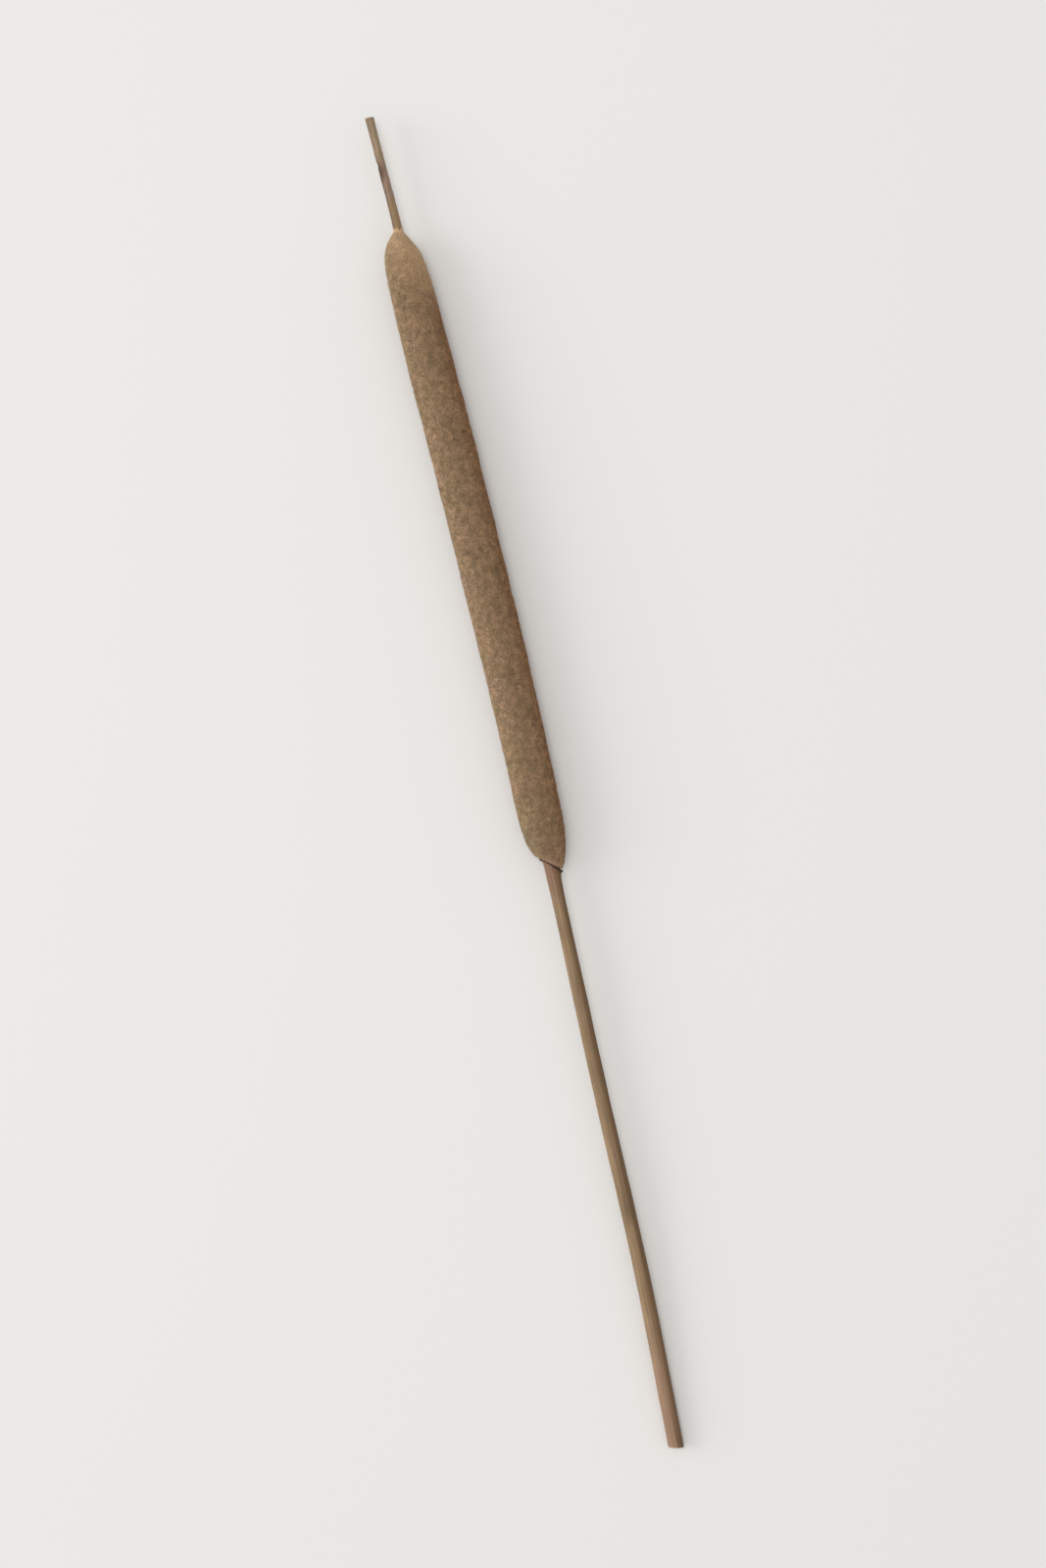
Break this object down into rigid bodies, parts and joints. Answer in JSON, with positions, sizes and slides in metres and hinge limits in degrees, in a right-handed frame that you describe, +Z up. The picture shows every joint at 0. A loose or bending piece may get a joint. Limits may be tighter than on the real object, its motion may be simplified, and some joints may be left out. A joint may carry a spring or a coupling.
{
  "type": "cattail stalk",
  "caption": "Dried cattail stalk lying down: a slim stem, a long velvety brown seed head and a thin bare spike at its tip.",
  "frame": {"origin": "on the surface the stalk lies on, under the middle of the whole stalk", "axes": "+Y along the stalk from the cut end of the stem to the tip of the spike, +Z up, +X to the right of the stalk as seen from above with its tip away from the viewer"},
  "size_m": [0.017, 0.4412, 0.0147],
  "materials": {
    "stem": "matte",
    "seed_head": "matte",
    "tip_spike": "matte"
  },
  "bodies": {
    "root": {"stem": "stem", "seed_head": "seed_head", "tip_spike": "tip_spike"}
  },
  "joints": []
}
